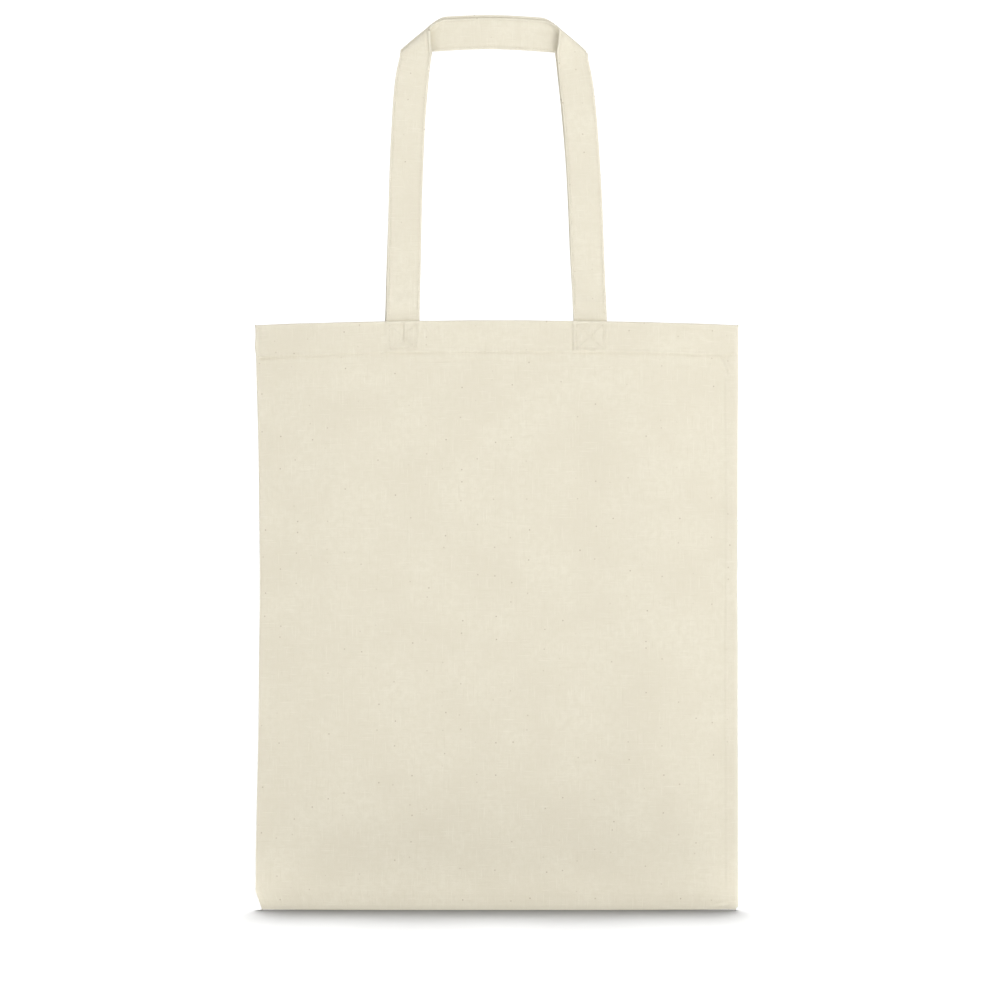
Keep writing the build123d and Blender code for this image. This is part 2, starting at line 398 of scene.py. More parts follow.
def spun_thread(name, colour, ply=0.45 * MM):
    """Spun sewing thread: two plies twisted together, with loose fibre."""
    material, tree, shader = new_material(name)
    along = add_node(tree, "ShaderNodeAttribute", attribute_name="cloth").outputs["Vector"]
    parts = add_node(tree, "ShaderNodeSeparateXYZ", {0: along})
    turns = maths("MULTIPLY", parts.outputs[0], 2 * math.pi / ply)
    twist = maths("SINE", maths("ADD", turns, parts.outputs[1]))
    body = add_node(tree, "ShaderNodeTexCoord").outputs["Object"]
    fibre = noise_node(body, 2600.0, 2.0, 0.6)
    cloud = noise_node(body, 60.0, 2.0)
    dull = shade(colour, (0.96, 0.95, 0.93))
    bright = shade(colour, (1.03, 1.03, 1.04))
    tone = tinted(mix_colour(cloud, dull, bright), colour, [
        # Painted shade in the grooves between the twisted plies
        (remap(twist, -0.2, -0.95, 0.0, 0.75), (0.7, 0.66, 0.58)),
        (remap(fibre, 0.35, 0.75, 0.0, 0.3), (1.1, 1.1, 1.12)),
    ])
    height = maths("ADD", twist, maths("MULTIPLY", fibre, 0.5))
    surface(tree, shader, tone, height, 0.6, 0.05 * MM, remap(fibre, 0.2, 0.8, 0.62, 0.8))
    shader.inputs["Sheen Weight"].default_value = 0.2
    shader.inputs["Sheen Roughness"].default_value = 0.45
    return material


def studio_floor(name):
    """Matt pale paper."""
    material, tree, shader = new_material(name)
    grain = noise_node(add_node(tree, "ShaderNodeTexCoord").outputs["Object"], 90.0, 3.0)
    tone = mix_colour(grain, (0.38, 0.38, 0.38, 1.0), (0.395, 0.395, 0.395, 1.0))
    tree.links.new(tone, shader.inputs["Base Color"])
    shader.inputs["Roughness"].default_value = 1.0
    shader.inputs["Specular IOR Level"].default_value = 0.0
    return material


canvas = woven_cloth("canvas", (0.768, 0.725, 0.602))
hem_canvas = woven_cloth("hem_canvas", (0.775, 0.732, 0.61), seed=1.3)
strap_canvas = woven_cloth("strap_canvas", (0.765, 0.724, 0.603), pitch=0.48 * MM, seed=2.1)
sewing_thread = spun_thread("sewing_thread", (0.775, 0.735, 0.62))
overlock_thread = spun_thread("overlock_thread", (0.81, 0.765, 0.645), ply=0.6 * MM)


# ---------------------------------------------------------------- camera, light and floor


def make_camera():
    """Level, and square to the bag's front, from far enough away that its sides stay parallel."""
    frame_height = 744.1 * MM
    distance = 3.0
    sensor = 36.0
    camera = bpy.data.cameras.new("camera")
    camera.sensor_width = sensor
    camera.lens = sensor * distance / frame_height
    camera.clip_end = 100.0
    holder = bpy.data.objects.new("camera", camera)
    holder.location = (2.6 * MM, -BELLY * MM - distance, 305.95 * MM)
    holder.rotation_euler = (math.pi / 2, 0, 0)
    bpy.context.scene.collection.objects.link(holder)
    bpy.context.scene.camera = holder


def make_floor():
    mesh = bpy.data.meshes.new("floor")
    far = 60.0
    corners = [(-far, -far, 0), (far, -far, 0), (far, far, 0), (-far, far, 0)]
    mesh.from_pydata(corners, [], [(0, 1, 2, 3)])
    mesh.materials.append(studio_floor("floor"))
    floor = bpy.data.objects.new("floor", mesh)
    bpy.context.scene.collection.objects.link(floor)
    return floor


def make_surroundings():
    """Bright walls all round, with a darker ceiling."""
    world = bpy.data.worlds.new("studio")
    world.use_nodes = True
    bpy.context.scene.world = world
    tree = world.node_tree
    direction = add_node(tree, "ShaderNodeTexCoord").outputs["Generated"]
    height = add_node(tree, "ShaderNodeSeparateXYZ", {0: direction}).outputs[2]
    share = remap(height, 0.28, 0.55)
    tone = mix_colour(share, (1.15, 1.15, 1.15, 1), (0.2, 0.2, 0.2, 1))
    tree.links.new(tone, tree.nodes["Background"].inputs["Color"])


def make_light(name, kind, energy, lit=None, **settings):
    """A light of a kind, for everything or for the pieces in a collection."""
    light = bpy.data.lights.new(name, kind)
    light.energy = energy
    for setting, value in settings.items():
        setattr(light, setting, value)
    holder = bpy.data.objects.new(name, light)
    if lit is not None:
        holder.light_linking.receiver_collection = lit
    bpy.context.scene.collection.objects.link(holder)
    return holder


def pieces_lit(name, pieces):
    """A collection for a light that is for these pieces alone."""
    lit = bpy.data.collections.new(name)
    for piece in pieces:
        lit.objects.link(piece)
    return lit


def make_floor_light(floor):
    """Soft light on the floor alone, from a little behind, which puts the bag's shadow just in front."""
    only_floor = pieces_lit("only_floor", [floor])
    spread = math.radians(9)
    for name, energy, tilt in (("floor_near", 4.1, 4), ("floor_middle", 2.6, 11), ("floor_far", 0.9, 19)):
        sun = make_light(name, "SUN", energy, only_floor, angle=spread)
        sun.rotation_euler = (math.radians(-tilt), 0, 0)


def make_key_light():
    """A large soft box, high on the right in front."""
    place = Vector((1.5, -2.1, 1.5))
    target = Vector((0, 0, 0.35))
    key = make_light("key", "AREA", 21, shape="DISK", size=0.9)
    key.location = place
    key.rotation_euler = (target - place).to_track_quat("-Z", "Y").to_euler()


def make_low_light(floor):
    """A low strip close in front, for the bag alone, which lifts its foot out of the floor's shadow."""
    all_but_floor = pieces_lit("all_but_floor", [floor])
    all_but_floor.collection_objects[0].light_linking.link_state = "EXCLUDE"
    low = make_light("low", "AREA", 0.023, all_but_floor, shape="RECTANGLE", size=0.42, size_y=0.012)
    low.location = (0, -0.032, 0.005)
    low.rotation_euler = (math.pi / 2, 0, 0)
    low.visible_camera = False


def make_cloth_light(name, energy, pieces):
    """A wide light straight above, for some pieces alone, so that their folds and rims don't go dark."""
    make_light(name, "SUN", energy, pieces_lit(name, pieces), angle=math.radians(100))


make_camera()
floor = make_floor()
make_surroundings()
make_floor_light(floor)
make_key_light()
make_low_light(floor)
bpy.context.scene.view_settings.view_transform = "Standard"


# ---------------------------------------------------------------- the body


def rim_height(x):
    """The mouth's edge, highest between the handles."""
    droop = RIM_DROOP * np.abs(x / HALF_WIDTH) ** 1.9
    return RIM_TOP - droop + 0.12 * np.sin(x / (9)) * np.sin(x / (31))


def side_inset(z, sign):
    """How far the bag's side has drawn in from its full half width."""
    waist = np.sin(np.pi * np.clip((z - 45) / (390), 0, 1)) ** 0.8
    wobble = np.sin(z / (23)) * np.sin(z / (61) + 1)
    if sign > 0:
        rounded = 2.2 * np.clip(1 - z / (3.2), 0, 1) ** 2
        return 0.5 * waist + 0.15 * wobble - 0.25 + rounded
    cut = np.clip((CORNER_HEIGHT - z) / CORNER_HEIGHT, 0, 1)
    ear = 0.7 * hill(z, RIM - 16, 5)
    return 3.2 * waist + 0.25 * wobble + CORNER_WIDTH * cut - ear


def bottom_lift(x):
    """How far the bottom edge is off the floor towards its ends."""
    return 0.45 * np.abs(x / HALF_WIDTH) ** 4


def rolled(distance, roll):
    """Cloth at a distance from its seam: how far in it lies, how far off the middle plane, and how far
    it is past the roll."""
    turn = np.clip(distance / roll, 0, np.pi)
    past = np.maximum(distance - np.pi * roll, 0)
    return roll * (1 - np.sin(turn)) + past, roll * (1 - np.cos(turn)), past


def hem_row(x):
    """How far below the rim the hem's stitches run."""
    row = HEM_ROW + 0.9 * smooth(-x, 60, 150) - 0.5 * hill(x, 120, 30)
    return row - 2.6 * smooth(x, HALF_WIDTH - 12, HALF_WIDTH)


def patch_relief(x, below, middle, seed):
    """A strap's sewn end showing through the hem: a raised patch with its stitch lines sunk in."""
    across = np.abs(x - middle)
    patch = smooth(STRAP_WIDTH / 2 + 0.5 - across, -0.7, 0.9)
    patch = patch * smooth(SEWN_LENGTH + 0.6 - below, -0.6, 0.9)
    margin = 0.5
    inside = (across < BOX_HALF + margin) & (below > BOX_TOP - margin) & (below < BOX_FOOT + margin)
    sides = hill(across, BOX_HALF, 0.75)
    ends = np.maximum(hill(below, BOX_TOP, 0.75), hill(below, BOX_FOOT, 0.75))
    climb = (BOX_FOOT - BOX_TOP) / (2 * BOX_HALF)
    slope = 1 / math.hypot(1, climb)
    down = below - (BOX_TOP + BOX_FOOT) / 2
    along = climb * (x - middle)
    cross = np.maximum(hill((down - along) * slope, 0, 0.8), hill((down + along) * slope, 0, 0.8))
    lines = np.maximum(np.maximum(sides, ends), 0.35 * cross) * inside
    quilt = 0.3 * rough(x, below, 4.5, seed) + 0.3 * rough(x, below, 10, seed + 0.5)
    drawn = 0.5 + 0.8 * rough(x, below, 2.6, seed + 0.8)
    return patch * (0.45 + quilt) - 0.24 * lines * np.clip(drawn, 0, 1.6)


def crease(x, z, start, end, width, height):
    """A straight fold line pressed into the cloth between two points."""
    run = (end[0] - start[0], end[1] - start[1])
    length = math.hypot(*run)
    along = ((x - start[0]) * run[0] + (z - start[1]) * run[1]) / length
    aside = ((x - start[0]) * run[1] - (z - start[1]) * run[0]) / length
    fade = smooth(along, -2 * width, 2 * width) * smooth(length - along, -2 * width, 2 * width)
    return fade * height * (hill(aside, 0, width) - 0.7 * hill(aside, -1.9 * width, width))


def hem_relief(x, below, off_row, seed):
    """The step where the hem's inner layers end, and the puckered row of stitches just above it."""
    pucker = rough_along(x, 5, seed + 1)
    strength = 0.7 + 0.5 * rough_along(x, 23, seed + 1.5)
    gathers = rough(x, below * 0.25, 9, seed + 2)
    between = smooth(70 - np.abs(x + 3), 0, 25)
    relief = 0.26 * smooth(-off_row, -0.4, 1.2)
    relief += (0.16 + 0.14 * pucker) * strength * hill(off_row, -1.6, 1)
    relief -= (0.42 + 0.14 * pucker) * strength * hill(off_row, 0.1, 0.7)
    relief += 0.14 * smooth(x, 70, 110) * hill(off_row, -1.4, 0.8)
    relief += 0.12 * gathers * hill(off_row, 0, 10)
    relief -= 0.14 * between * hill(off_row, 6, 1.1)
    return relief + 0.25 * hill(below, 1.4, 1.5)


def hem_end_relief(x, off_row):
    """The hem's ends: drawn in on the left, full on the right, and a knot at each end of the row."""
    from_left = HALF_WIDTH + x
    from_right = HALF_WIDTH - x
    in_hem = smooth(-off_row, -0.5, 1)
    relief = in_hem * 0.3 * smooth(-from_right, -4, -2)
    relief -= in_hem * 0.8 * smooth(-from_left, -5.5, 0)
    relief -= 0.3 * hill(off_row, 0, 0.9) * smooth(-from_left, -38, -12)
    relief -= 0.5 * spot(from_left, off_row, (5, 0), 1.6)
    return relief - 0.45 * spot(from_right, off_row, (6, 0.3), 1.3)


def allowance_relief(x, z, off_row, seed):
    """The side allowances' edges, which show through below the hem, the left one only in places."""
    below_hem = smooth(off_row, -1, 1.5) * smooth(z, 12, 24)
    right_line = HALF_WIDTH - ALLOWANCE - 0.3 + 0.35 * np.sin(z / (37))
    right_line = right_line - 3.8 * smooth(z, 398, 414)
    off_right = x - right_line
    clear = 0.24 * smooth(off_right, -0.6, 0.9)
    clear = clear + 0.12 * hill(off_right, 0.9, 0.8) - 0.12 * hill(off_right, -0.8, 0.8)
    left_line = -HALF_WIDTH + 12.5 + 3.6 * np.sin(z / (41) + 0.6)
    off_left = left_line + 1.2 * np.sin(z / (13)) - x
    patchy = 0.55 + 0.45 * rough(np.zeros_like(z), z, 60, seed + 3)
    faint = 0.17 * smooth(off_left, -1.2, 1.4) - 0.08 * hill(off_left, -1.4, 1.3)
    return below_hem * (clear + patchy * faint)


def body_relief(x, z, seed):
    """The limp cloth's broad unevenness, the cut-off bottom corner and the ridge by the bottom seam."""
    from_left = HALF_WIDTH + x
    middle = smooth(z, 8, 60) * smooth(HALF_WIDTH - np.abs(x), 4, 40)
    relief = 0.55 * middle * rough(x, z * 0.6, 120, seed + 6)
    relief += 0.22 * middle * rough(x, z, 42, seed + 7)
    relief += 0.05 * rough(x, z, 11, seed + 8)
    relief += 0.4 * spot(from_left, z, (7, 14), 2.4)
    relief -= 0.7 * spot(from_left, z, (2, 15), 3.2)
    return relief + 0.14 * hill(z, 3.4, 1.2) - 0.1 * hill(z, 9.5, 1)


def panel_relief(x, z, below, seed):
    """Everything that stands out from, or sinks into, a panel's smooth face."""
    off_row = below - hem_row(x)
    relief = hem_relief(x, below, off_row, seed) + hem_end_relief(x, off_row)
    relief += allowance_relief(x, z, off_row, seed)
    relief += patch_relief(x, below, -STRAP_SPACING, seed + 4)
    relief += patch_relief(x, below, STRAP_SPACING, seed + 5)
    relief -= 0.3 * spot(x, below, (LEFT_END - 9, 22.5), 3)
    for from_x, from_z, start, end, width, height in CREASES:
        first = (from_x + start[0], from_z + start[1])
        last = (from_x + end[0], from_z + end[1])
        relief += crease(x, z, first, last, width, height)
    return relief + body_relief(x, z, seed)


def panel_points(across, up, seed):
    """A front panel's outer face, from distances along the cloth: across from its middle line, and up
    from the bottom seam."""
    side = np.where(across < 0, -1, 1)
    from_side, side_lift, side_past = rolled(HALF_CLOTH - np.abs(across), SEAM_ROLL)
    from_bottom, foot_lift, foot_past = rolled(up, FOOT_ROLL)
    level = np.clip(from_bottom, 0, RIM)
    inset = np.where(side < 0, side_inset(level, -1), side_inset(level, 1))
    square = HALF_WIDTH - from_side
    x = side * (square - inset * (square / HALF_WIDTH) ** 2)
    rim = rim_height(x)
    lift = bottom_lift(x)
    turn = np.clip((up - TURN_START) / RIM_ROLL, 0, np.pi)
    over = np.maximum(up - TURN_START - np.pi * RIM_ROLL, 0)
    face_z = lift + from_bottom * (rim / RIM_TOP - lift / RIM)
    z = np.where(up > TURN_START, rim - RIM_ROLL + RIM_ROLL * np.sin(turn) - over, face_z)
    ramp = 0.45 * swelling(side_past, SIDE_RAMP) + 0.55 * smooth(side_past, 0, SIDE_RAMP)
    side_depth = side_lift + (FULL_DEPTH - 2 * SEAM_ROLL) * ramp
    foot_depth = foot_lift + (FULL_DEPTH - 2 * FOOT_ROLL) * swelling(foot_past, BOTTOM_RAMP)
    depth = lesser(side_depth, foot_depth, 1.4)
    settled = smooth(np.minimum(side_past, foot_past), 0, 2.5)
    outside = turn < np.pi / 2 + 0.01
    depth = depth + panel_relief(x, z, rim - z, seed) * settled * outside
    depth = np.maximum(depth - RIM_ROLL * (1 - np.cos(turn)), 0.02)
    return x, -depth, z


def panel_grid():
    """Distances across and up the cloth, close together at the seams, the patches and the hem."""
    roll = np.pi * SEAM_ROLL
    outer = STRAP_SPACING + STRAP_WIDTH / 2
    right = graded([
        (0, 1.9), (RIGHT_END - 20, 1.6), (RIGHT_END - 3, 0.75), (outer + 3, 0.75), (outer + 14, 1.9),
        (HALF_CLOTH - 24, 1.7), (HALF_CLOTH - 16, 0.8), (HALF_CLOTH - roll, 0.7),
        (HALF_CLOTH - roll + 0.1, 0.36), (HALF_CLOTH, 0.36),
    ])
    foot = np.pi * FOOT_ROLL
    row = RIM_CLOTH - HEM_ROW
    turned = TURN_START + np.pi * RIM_ROLL
    up = graded([
        (0, 0.2), (foot - 0.1, 0.2), (foot, 0.7), (22, 1.2), (40, 2.2), (row - 20, 2.2), (row - 8, 0.6),
        (row + 4, 0.5), (row + 12, 0.9), (TURN_START - 4, 0.8), (TURN_START - 0.3, 0.5),
        (TURN_START, 0.25), (turned, 0.25), (turned + 0.9, 0.3),
    ])
    return np.meshgrid(np.concatenate([-right[:0:-1], right]), up)


def make_panel(side, sign, seed):
    across, up = panel_grid()
    x, y, z = panel_points(across, up, seed)
    points = np.stack([x, y * sign, z], axis=-1)
    cloth = np.stack([across * sign, up], axis=-1) * MM
    edge = np.maximum(hill(HALF_WIDTH - np.abs(x), 0, 2.2), hill(rim_height(x) - z, 0, 1.6))
    # Lighter colour: wear along the side and rim edges, and a painted highlight along the bottom edge
    # where the cloth rolls into the seam
    wear_and_highlight = np.maximum(edge, 0.8 * hill(z, 0, 2.5))
    faces = grid_faces(*across.shape, flip=sign < 0)
    piece = make_piece(f"{side}_panel_cloth", points, faces, cloth, wear_and_highlight, canvas)
    solid = piece.modifiers.new("cloth", "SOLIDIFY")
    solid.thickness = CLOTH * MM
    solid.offset = -1
    solid.use_even_offset = False
    sew_to_bag(piece, f"{side}_panel")
    return piece


front_panel, back_panel = [make_panel(*side) for side in SIDES]


# ---------------------------------------------------------------- shared builders for strips and thread


def strip_section(width, thickness, dents=(), columns=22):
    """A folded strip's cross-section, with one edge open, as points (across, off the middle)."""
    half = width / 2
    bend = thickness / 2
    flat = np.linspace(-half + bend, half - bend, columns)
    rise = np.full(columns, bend)
    for place in dents:
        rise = rise - 0.13 * hill(np.abs(flat), place, 0.55)
    turns = np.linspace(np.pi / 2, -np.pi / 2, 7)[1:-1]
    closed_edge = half - bend + bend * np.cos(turns)
    open_edge = closed_edge - 0.55 * bend * hill(turns, 0, 0.35)
    edge_off = bend * np.sin(turns)
    across = np.concatenate([flat, open_edge, flat[::-1], -closed_edge[::-1]])
    off = np.concatenate([rise, edge_off, -rise[::-1], edge_off[::-1]])
    return across, off


def stitch_mesh(starts, ends, normals, sink=0.16):
    """One small bowed loop of thread for each stitch, with its ends sunk in the cloth."""
    rise = 0.16
    steps = np.array([0.0, 0.12, 0.35, 0.65, 0.88, 1.0])
    heights = np.array([-sink, 0.35 * rise, rise, rise, 0.35 * rise, -sink])[None, :, None]
    girth = np.array([0.75, 0.95, 1.0, 1.0, 0.95, 0.75]) * THREAD
    angles = np.arange(6) * np.pi / 3
    run = ends - starts
    aside = unit(np.cross(unit(run), normals))[:, None, :]
    upward = normals[:, None, :]
    centre = starts[:, None, :] + run[:, None, :] * steps[None, :, None] + upward * heights
    ring = aside * np.cos(angles)[None, :, None] + upward * np.sin(angles)[None, :, None]
    points = centre[:, :, None, :] + ring[:, None, :, :] * girth[None, :, None, None]
    one = np.array(grid_faces(len(steps), len(angles), wrap=True))
    shift = np.arange(len(starts))[:, None, None] * len(steps) * len(angles)
    faces = (one[None, :, :] + shift).reshape(-1, 4).tolist()
    along = np.broadcast_to((steps * STITCH * MM)[None, :, None], points.shape[:3])
    around = np.broadcast_to(angles[None, None, :], points.shape[:3])
    return points.reshape(-1, 3), faces, np.stack([along, around], axis=-1).reshape(-1, 2)


def join(parts):
    """Several lots of points, faces and cloth coordinates, as one."""
    points, faces, cloth = [], [], []
    total = 0
    for lot, lot_faces, lot_cloth in parts:
        points.append(lot)
        cloth.append(lot_cloth)
        faces.extend([[index + total for index in face] for face in lot_faces])
        total += len(lot)
    return np.concatenate(points), faces, np.concatenate(cloth)


def tube_mesh(path, radius):
    """A tube of thread along a path."""
    sides = 6
    ahead = unit(np.gradient(path, axis=0))
    guide = np.where(np.abs(ahead[:, 2:3]) < 0.9, [[0.0, 0.0, 1.0]], [[1.0, 0.0, 0.0]])
    aside = unit(np.cross(ahead, guide))
    upward = np.cross(aside, ahead)
    angles = np.arange(sides) * 2 * np.pi / sides
    ring = aside[:, None, :] * np.cos(angles)[None, :, None]
    ring = ring + upward[:, None, :] * np.sin(angles)[None, :, None]
    points = path[:, None, :] + radius * ring
    lengths = np.concatenate([[0], np.cumsum(np.linalg.norm(np.diff(path, axis=0), axis=1))])
    cloth = np.stack([np.repeat(lengths * MM, sides), np.tile(angles, len(path))], axis=-1)
    return points.reshape(-1, 3), grid_faces(len(path), sides, wrap=True), cloth


def make_thread(name, parts, node, material=sewing_thread, on_bag=True):
    points, faces, cloth = join(parts)
    piece = make_piece(name, points, faces, cloth, 0, material)
    if on_bag:
        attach(piece, "bag")
    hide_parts(node)
    return piece


# ---------------------------------------------------------------- hems


def face_at(x, below, seed):
    """Points on a front panel's outer face, from X and the distance below the rim."""
    across = np.clip(x, -HALF_WIDTH, HALF_WIDTH)
    return np.stack(panel_points(across, RIM_CLOTH - below, seed), axis=-1)


def face_normal(x, below, seed):
    step = 0.3
    run = face_at(x + step, below, seed) - face_at(x - step, below, seed)
    rise = face_at(x, below - step, seed) - face_at(x, below + step, seed)
    return unit(np.cross(run, rise))


def mirrored(points, sign):
    return points * np.array([1, sign, 1])


def make_hem(side, sign, seed):
    """The turned-in cloth inside the mouth: two layers, folded under at the lower edge."""
    end = HALF_WIDTH - 2.2
    x = graded([(-end, 1.2), (-HALF_WIDTH + 12, 2), (end, 2)])
    below = graded([(1.2, 0.8), (21, 0.8), (23, 0.4), (HEM_DEPTH, 0.4)])
    grid_x, grid_below = np.meshgrid(x, below)
    outer = face_at(grid_x, grid_below, seed)
    row = hill(grid_below, HEM_ROW - 0.3, 0.8)
    fold = np.clip((grid_below - HEM_DEPTH + 0.5) / (0.5), 0, 1)
    half = HEM_THICKNESS / 2 * (0.15 + 0.85 * np.sqrt(1 - fold**2))
    half = half * smooth(grid_below, 0.4, 1.8) - HEM_DENT * row
    middle = -outer[..., 1] - CLOTH - LAYER_GAP - HEM_THICKNESS / 2
    wave = 0.12 * rough(grid_x, grid_below, 14, seed + 11)
    front = np.maximum(middle + half, 0.06)
    back = np.maximum(middle - half + wave * (1 - row), 0.04)
    rows = np.arange(len(below))
    loop = np.concatenate([rows, rows[::-1]])
    depth = np.concatenate([back, front[::-1]], axis=0)
    points = np.stack([outer[loop, :, 0], -depth * sign, outer[loop, :, 2]], axis=-1)
    points = np.swapaxes(points, 0, 1)
    cloth = np.swapaxes(np.stack([grid_x[loop], grid_below[loop]], axis=-1), 0, 1)
    faces = grid_faces(len(x), len(loop), wrap=True, flip=sign > 0) + end_faces(len(x), len(loop))
    wear_and_highlight = hill(cloth[..., 1], HEM_DEPTH, 1.2)
    piece = make_piece(f"{side}_hem_cloth", points, faces, cloth * MM, wear_and_highlight, hem_canvas)
    sew_to_bag(piece, f"{side}_hem")
    return piece


def make_hem_thread(side, sign, seed):
    """The hem's row of stitches, outside and inside."""
    starts_x = spaced(-HALF_WIDTH + SEAM_END, HALF_WIDTH - SEAM_END)
    ends_x = starts_x + STITCH
    starts = face_at(starts_x, hem_row(starts_x), seed)
    ends = face_at(ends_x, hem_row(ends_x), seed)
    normals = mirrored(face_normal(starts_x + STITCH / 2, hem_row(starts_x), seed), sign)
    outside = stitch_mesh(mirrored(starts, sign), mirrored(ends, sign), normals)
    inwards = np.array([0, CLOTH + LAYER_GAP + HEM_THICKNESS - HEM_DENT, 0])
    inside = stitch_mesh(mirrored(starts + inwards, sign), mirrored(ends + inwards, sign), -normals)
    make_thread(f"{side}_hem_stitches", [outside, inside], f"{side}_hem_thread")


front_hem, back_hem = [make_hem(*side) for side in SIDES]
for side in SIDES:
    make_hem_thread(*side)


# ---------------------------------------------------------------- handles


class Leg:
    """One leg of a handle in the bag's front view: its fold, its middle line and how it leans."""

    def __init__(self, sign, shoulder, crown, foot_x, easing):
        self.sign = sign
        self.bulge = LEFT_BULGE if sign < 0 else RIGHT_BULGE
        self.curl = LEFT_CURL if sign < 0 else RIGHT_CURL
        self.easing = easing
        self.shoulder = np.array(shoulder)
        self.middle = (self.shoulder + np.array(crown)) / 2
        fold = np.array(crown) - self.shoulder
        self.fold_length = np.linalg.norm(fold)
        self.fold_along = fold / self.fold_length
        self.fold_out = np.array([-self.fold_along[1], self.fold_along[0]])
        if self.fold_out[0] * sign < 0:
            self.fold_out = -self.fold_out
        turned = 2 * self.fold_along * (self.fold_along[0] * sign) - np.array([sign, 0.0])
        turned = -turned if turned[1] > 0 else turned
        self.lean = math.atan2(turned[0] * sign, -turned[1])
        x, lift, z = self.folded(np.array([FOLD_START]), np.array([0.0]))
        self.start = np.array([x[0], z[0]])
        self.aim_at(foot_x)
        self.length = np.interp(-SEWN_TOP, -self.line[:, 1], self.distance) + SEWN_LENGTH

    def aim_at(self, foot_x):
        """Finds the lean low down with which the leg reaches the rim at foot_x."""
        low, high = math.radians(-12), math.radians(12)
        for attempt in range(40):
            base = (low + high) / 2
            self.walk(base)
            reached = np.interp(-SEWN_TOP, -self.line[:, 1], self.line[:, 0])
            if (reached - foot_x) * self.sign < 0:
                low = base
            else:
                high = base

    def walk(self, base):
        """The leg's middle line downwards from where its fold ends, leaning by base lower down."""
        step = 0.5
        longest = 270
        self.distance = FOLD_START + np.arange(0, longest, step)
        gone = self.distance - FOLD_START
        self.angle = base + (self.lean - base) * np.exp(-gone / self.easing)
        run = np.stack([self.sign * np.sin(self.angle), -np.cos(self.angle)], axis=-1) * step
        self.line = self.start + np.concatenate([[[0, 0]], np.cumsum(run[:-1], axis=0)])

    def folded(self, down, across):
        """The strap laid straight past its fold, then rolled over: X, lift and Z."""
        x = self.middle[0] + self.sign * down
        sinking = smooth(down, -18, -3) * (1 - smooth(down, 0, 14))
        z = self.middle[1] + across - CROWN_DROOP * sinking * smooth(across, -6, 12)
        off_x = x - self.shoulder[0]
        off_z = z - self.shoulder[1]
        out = off_x * self.fold_out[0] + off_z * self.fold_out[1]
        along = off_x * self.fold_along[0] + off_z * self.fold_along[1]
        share = smooth(along, 0, self.fold_length)
        roll = FOLD_SHOULDER_ROLL + (FOLD_CROWN_ROLL - FOLD_SHOULDER_ROLL) * share
        swell = self.bulge * np.sin(np.pi * np.clip(along / self.fold_length, 0, 1))
        into = out + roll - swell
        turn = np.clip(into / roll, 0, np.pi)
        past = np.maximum(into - np.pi * roll, 0)
        tucked = 0.7 * (np.pi - 2) * roll * smooth(turn, np.pi / 2, np.pi)
        moved = np.where(into > 0, -into + roll * np.sin(turn) - past - tucked, 0)
        return x + moved * self.fold_out[0], roll * (1 - np.cos(turn)), z + moved * self.fold_out[1]

    def hanging(self, down, across):
        """The leg below its fold: X and Z."""
        x = np.interp(down, self.distance, self.line[:, 0])
        z = np.interp(down, self.distance, self.line[:, 1])
        angle = np.interp(down, self.distance, self.angle)
        return x - self.sign * across * np.cos(angle), z - across * np.sin(angle)

    def points(self, down, across):
        fold_x, lift, fold_z = self.folded(down, across)
        leg_x, leg_z = self.hanging(down, across)
        share = smooth(down, FOLD_START, FOLD_START + 25)
        x = fold_x * (1 - share) + leg_x * share
        z = fold_z * (1 - share) + leg_z * share
        climb = np.clip((z - SEWN_TOP) / (STRAP_TOP - SEWN_TOP), 0, 1)
        plane = STRAP_BASE_Y + (LEG_TOP_Y - STRAP_BASE_Y) * climb
        easing = smooth(down, 10, 95)
        y = (TOP_Y - lift) * (1 - easing) + plane * easing
        y = y - 0.8 * hill(z, SEWN_TOP + 13, 7)
        by_fold = smooth(down, -12, -4) * (1 - smooth(down, 6, 24))
        edge = smooth(across, 10.2, 12.2) - 1.3 * hill(across, 9.4, 1.1)
        return np.stack([x, y - self.curl * by_fold * edge, z], axis=-1)


